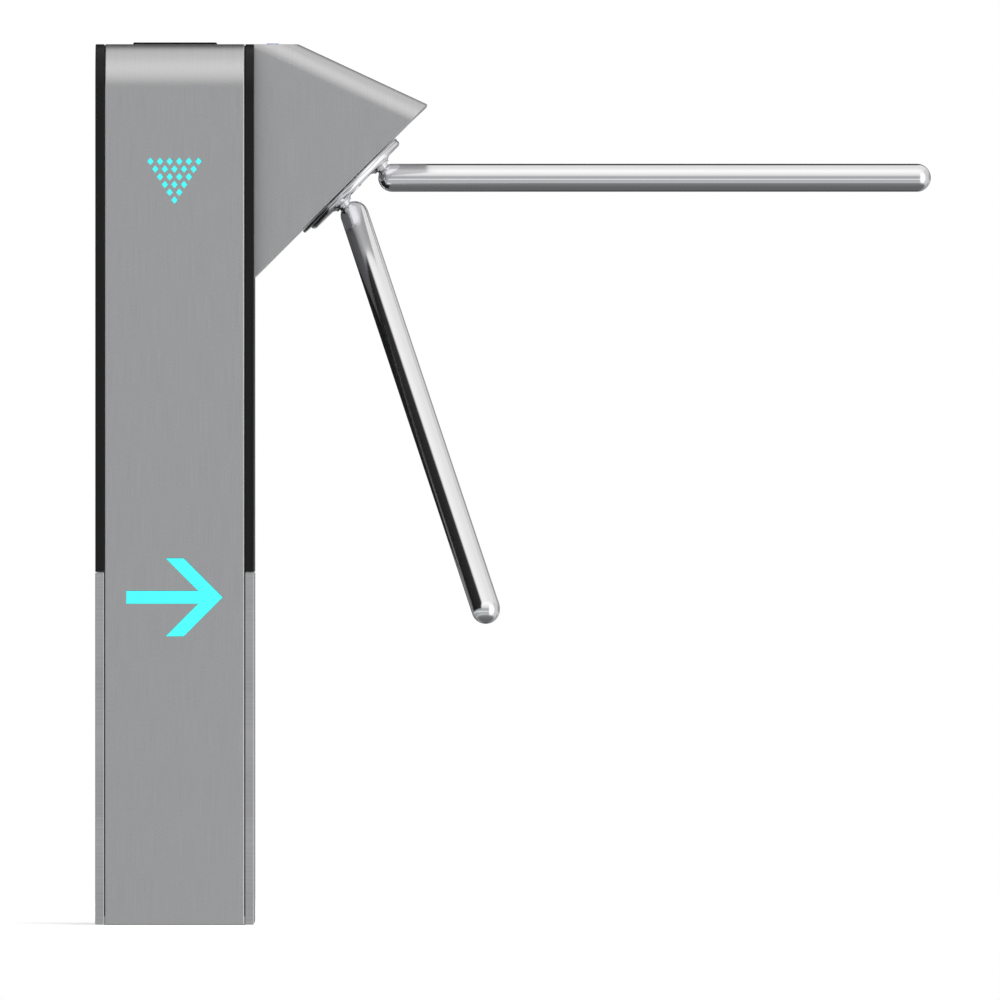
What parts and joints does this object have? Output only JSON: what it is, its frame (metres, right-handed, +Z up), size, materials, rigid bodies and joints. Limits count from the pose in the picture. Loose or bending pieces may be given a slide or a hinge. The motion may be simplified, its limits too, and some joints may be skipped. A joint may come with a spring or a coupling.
{
  "type": "visitor counter turnstile",
  "caption": "Waist-height tripod turnstile: slim steel post with black side panels, slanted head, turning hub with three tubular arms, lit arrow and a rear service door.",
  "frame": {"origin": "centre of the base plate's underside, on the floor", "axes": "+Z up; the arms reach out along +X over the lane; visitors read the front, which faces -Y; the service door is at the back, +Y"},
  "size_m": [0.9495, 0.8328, 1.0023],
  "materials": {
    "brushed_stainless": "brushed",
    "black_panel": "satin",
    "black_glass": "gloss",
    "cyan_diffuser": "satin",
    "lens_acrylic": "gloss",
    "polished_stainless": "polished",
    "zinc_steel": "zinc plated",
    "black_coated_steel": "powder coat",
    "bearing_steel": "ground",
    "cast_aluminium": "cast",
    "gear_nylon": "moulded",
    "black_plastic": "moulded",
    "grommet_rubber": "moulded",
    "circuit_board": "solder mask",
    "spring_steel": "drawn"
  },
  "bodies": {
    "post": {"base_plate": "zinc_steel", "cable_grommet": "grommet_rubber", "frame_side_left": "black_coated_steel", "frame_side_right": "black_coated_steel", "cross_shelves": "black_coated_steel", "electronics_tray": "zinc_steel", "controller_board": "circuit_board", "power_supply": "zinc_steel", "casing_wrap": "brushed_stainless", "upper_panel_left": "black_panel", "upper_panel_right": "black_panel", "lower_panel_left": "brushed_stainless", "lower_panel_right": "brushed_stainless", "reader_pad": "black_glass", "status_diffuser": "cyan_diffuser", "arrow_diffuser": "cyan_diffuser", "led_boards": "circuit_board", "head_shell": "brushed_stainless", "head_face_plate": "brushed_stainless", "head_lens": "lens_acrylic", "head_back_plate": "zinc_steel", "head_gussets": "zinc_steel", "mechanism_plate": "zinc_steel", "bearing_housing": "cast_aluminium", "bearing_outer_rings": "bearing_steel", "solenoids": "zinc_steel", "solenoid_brackets": "zinc_steel", "pawl_posts": "zinc_steel", "pawl_springs": "spring_steel", "damper_body": "cast_aluminium", "counter_sensor": "black_plastic", "sensor_bracket": "zinc_steel", "head_bolts": "zinc_steel", "housing_screws": "zinc_steel", "hinge_fixed_leaves": "brushed_stainless", "hinge_pins": "polished_stainless"},
    "rotor": {"main_shaft": "bearing_steel", "bearing_inner_rings": "bearing_steel", "drive_gear": "gear_nylon", "lock_wheel": "zinc_steel", "encoder_disc": "bearing_steel", "shaft_nut": "zinc_steel", "hub_base_disc": "polished_stainless", "hub_flange": "polished_stainless", "hub_cap": "polished_stainless", "arm_studs": "polished_stainless", "arm_tube_1": "polished_stainless", "arm_tube_2": "polished_stainless", "arm_tube_3": "polished_stainless", "arm_roots": "polished_stainless", "arm_tips": "polished_stainless"},
    "damper_gear": {"damper_pinion": "gear_nylon"},
    "ball_cages": {"bearing_balls": "bearing_steel"},
    "front_pawl": {"pawl_front": "zinc_steel"},
    "rear_pawl": {"pawl_rear": "zinc_steel"},
    "front_plunger": {"plunger_front": "bearing_steel"},
    "rear_plunger": {"plunger_rear": "bearing_steel"},
    "door": {"service_door": "brushed_stainless", "lock_barrel": "zinc_steel"},
    "door_lock": {"lock_cam": "polished_stainless"}
  },
  "joints": [
    {"name": "rotor_turn", "type": "hinge", "parent": "post", "child": "rotor", "pos_m": [0.19656, 0, 0.84206], "axis": [0.7071, 0, -0.7071], "continuous": true},
    {"name": "damper_turn", "type": "hinge", "parent": "post", "child": "damper_gear", "pos_m": [0.24111, 0, 0.88661], "axis": [0.7071, 0, -0.7071], "continuous": true},
    {"name": "cages_turn", "type": "hinge", "parent": "post", "child": "ball_cages", "pos_m": [0.19656, 0, 0.84206], "axis": [0.7071, 0, -0.7071], "continuous": true},
    {"name": "front_pawl_swing", "type": "hinge", "parent": "post", "child": "front_pawl", "pos_m": [0.11242, -0.07, 0.86398], "axis": [-0.7071, 0, 0.7071], "range_deg": [0, 10.5], "stiffness_Nm_per_rad": 0.6, "springref_deg": -20.05},
    {"name": "rear_pawl_swing", "type": "hinge", "parent": "post", "child": "rear_pawl", "pos_m": [0.11242, 0.07, 0.86398], "axis": [0.7071, 0, -0.7071], "range_deg": [0, 10.5], "stiffness_Nm_per_rad": 0.6, "springref_deg": -20.05},
    {"name": "front_plunger_slide", "type": "slide", "parent": "post", "child": "front_plunger", "axis": [0.7071, 0, 0.7071], "range_m": [0, 0.0034]},
    {"name": "rear_plunger_slide", "type": "slide", "parent": "post", "child": "rear_plunger", "axis": [0.7071, 0, 0.7071], "range_m": [0, 0.0034]},
    {"name": "door_swing", "type": "hinge", "parent": "post", "child": "door", "pos_m": [-0.066, 0.1545, 0.33], "axis": [0, 0, 1], "range_deg": [0, 110]},
    {"name": "lock_turn", "type": "hinge", "parent": "door", "child": "door_lock", "pos_m": [0.044, 0.14, 0.33], "axis": [0, 1, 0], "range_deg": [0, 90]}
  ],
  "couplings": [
    {"joint": "damper_turn", "follows": "rotor_turn", "ratio": -3.2},
    {"joint": "cages_turn", "follows": "rotor_turn", "ratio": 0.39674},
    {"joint": "front_plunger_slide", "follows": "front_pawl_swing", "m_per_rad": 0.018},
    {"joint": "rear_plunger_slide", "follows": "rear_pawl_swing", "m_per_rad": 0.018}
  ]
}
